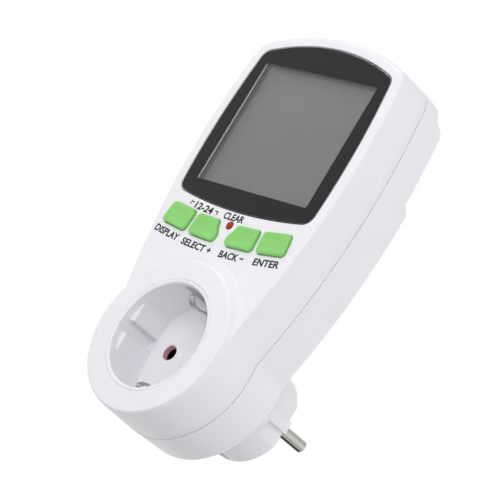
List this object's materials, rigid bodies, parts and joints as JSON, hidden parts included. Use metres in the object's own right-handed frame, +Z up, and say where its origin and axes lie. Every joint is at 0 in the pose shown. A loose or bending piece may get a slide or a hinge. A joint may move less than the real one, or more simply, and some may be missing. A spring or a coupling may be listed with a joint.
{
  "type": "plug-in power meter",
  "caption": "White plug-in power meter: mains plug behind, recessed socket in a round lower end, large grey display under a black-edged lens, green keys and a small red reset.",
  "frame": {"origin": "centre of the plug's front face, between the pins, on the common axis of plug and socket", "axes": "+Y along the plug into the wall socket, +Z up along the housing's length, +X to the right seen from the display side"},
  "size_m": [0.0776, 0.0775, 0.1522],
  "materials": {
    "white_shell": "white ABS, fine satin",
    "green_key": "green silicone, satin",
    "red_key": "red plastic",
    "lens_acrylic": "clear acrylic printed black round the window",
    "display_glass": "grey segment display glass",
    "grey_rubber": "grey silicone",
    "black_plastic": "black plastic",
    "black_epoxy": "black epoxy",
    "board_laminate": "green glass-fibre board",
    "nickel_plate": "nickel-plated brass",
    "brass": "bare brass",
    "zinc_steel": "zinc-plated steel",
    "shunt_alloy": "copper alloy",
    "yellow_case": "yellow moulded case",
    "blue_epoxy": "blue epoxy dip",
    "pale_ceramic": "pale ceramic"
  },
  "bodies": {
    "meter": {"front_shell": "white_shell", "rear_shell": "white_shell", "display_lens": "lens_acrylic", "display_glass": "display_glass", "contact_strip_top": "grey_rubber", "contact_strip_bottom": "grey_rubber", "display_backing": "white_shell", "keypad_mat": "grey_rubber", "reset_switch": "black_plastic", "socket_insert": "white_shell", "earth_bracket": "nickel_plate", "socket_contact_left": "brass", "socket_contact_right": "brass", "neutral_bar": "brass", "line_bar": "brass", "load_bar": "brass", "shunt": "shunt_alloy", "plug_body": "white_shell", "plug_pin_left": "nickel_plate", "plug_pin_right": "nickel_plate", "plug_earth_bracket": "nickel_plate", "earth_post": "brass", "control_board": "board_laminate", "controller_blob": "black_epoxy", "crystal": "zinc_steel", "cell_holder": "black_plastic", "backup_cell": "zinc_steel", "power_board": "board_laminate", "board_header": "black_plastic", "safety_capacitor": "yellow_case", "filter_capacitor": "black_epoxy", "varistor": "blue_epoxy", "fuse": "pale_ceramic", "metering_chip": "black_plastic", "case_screw_1": "zinc_steel", "case_screw_2": "zinc_steel", "case_screw_3": "zinc_steel", "case_screw_4": "zinc_steel", "board_screw_1": "zinc_steel", "board_screw_2": "zinc_steel", "board_screw_3": "zinc_steel", "board_screw_4": "zinc_steel", "power_screw_1": "zinc_steel", "power_screw_2": "zinc_steel"},
    "mode_key": {"mode_button": "green_key", "mode_pill": "black_plastic"},
    "up_key": {"up_button": "green_key", "up_pill": "black_plastic"},
    "down_key": {"down_button": "green_key", "down_pill": "black_plastic"},
    "set_key": {"set_button": "green_key", "set_pill": "black_plastic"},
    "reset_key": {"reset_button": "red_key"}
  },
  "joints": [
    {"name": "mode_press", "type": "slide", "parent": "meter", "child": "mode_key", "axis": [0, 1, 0], "range_m": [0, 0.001], "stiffness_N_per_m": 1200},
    {"name": "up_press", "type": "slide", "parent": "meter", "child": "up_key", "axis": [0, 1, 0], "range_m": [0, 0.001], "stiffness_N_per_m": 1200},
    {"name": "down_press", "type": "slide", "parent": "meter", "child": "down_key", "axis": [0, 1, 0], "range_m": [0, 0.001], "stiffness_N_per_m": 1200},
    {"name": "set_press", "type": "slide", "parent": "meter", "child": "set_key", "axis": [0, 1, 0], "range_m": [0, 0.001], "stiffness_N_per_m": 1200},
    {"name": "reset_press", "type": "slide", "parent": "meter", "child": "reset_key", "axis": [0, 1, 0], "range_m": [0, 0.0005], "stiffness_N_per_m": 3000}
  ]
}
